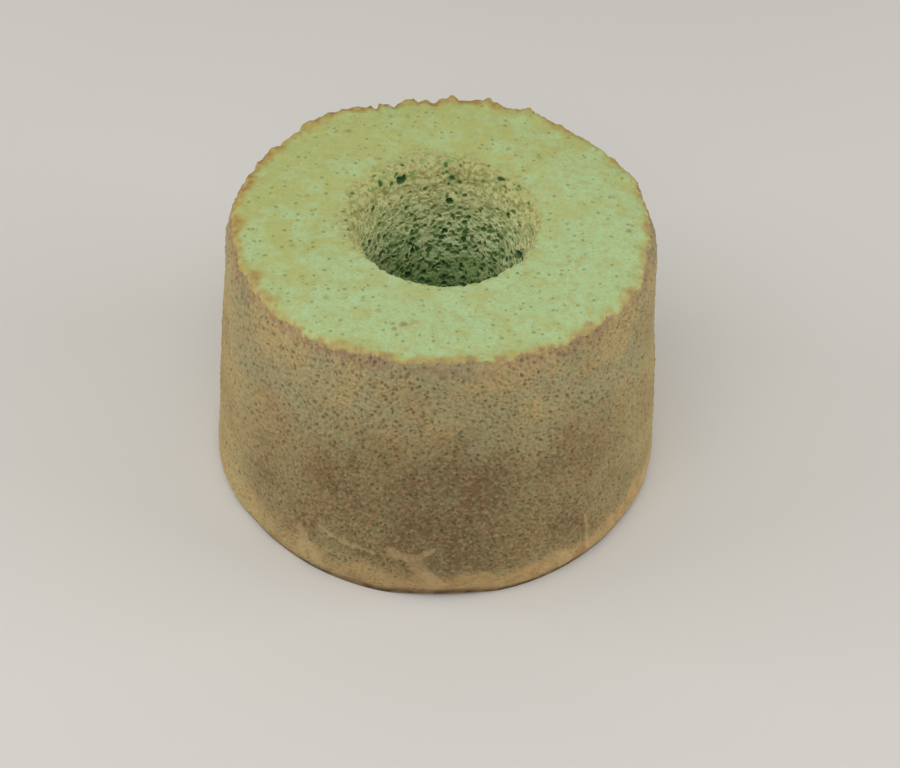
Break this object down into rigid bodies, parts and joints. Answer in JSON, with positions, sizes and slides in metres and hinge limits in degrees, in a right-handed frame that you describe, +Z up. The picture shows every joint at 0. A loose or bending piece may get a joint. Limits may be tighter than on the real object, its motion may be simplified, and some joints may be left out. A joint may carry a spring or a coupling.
{
  "type": "angel food cake",
  "caption": "Small whole angel food cake of pale green sponge, a tall tapered ring with a funnel-shaped tunnel through its middle.",
  "frame": {"origin": "middle of the flat base, on the surface that the cake stands on", "axes": "+Z up along the tunnel, -Y towards the side that the picture shows in front, +X to its right"},
  "size_m": [0.1408, 0.1412, 0.0914],
  "materials": {
    "sponge": "matt, finely porous sponge crumb with a pale yellow-green skin on top"
  },
  "bodies": {
    "root": {"cake_ring": "sponge"}
  },
  "joints": []
}
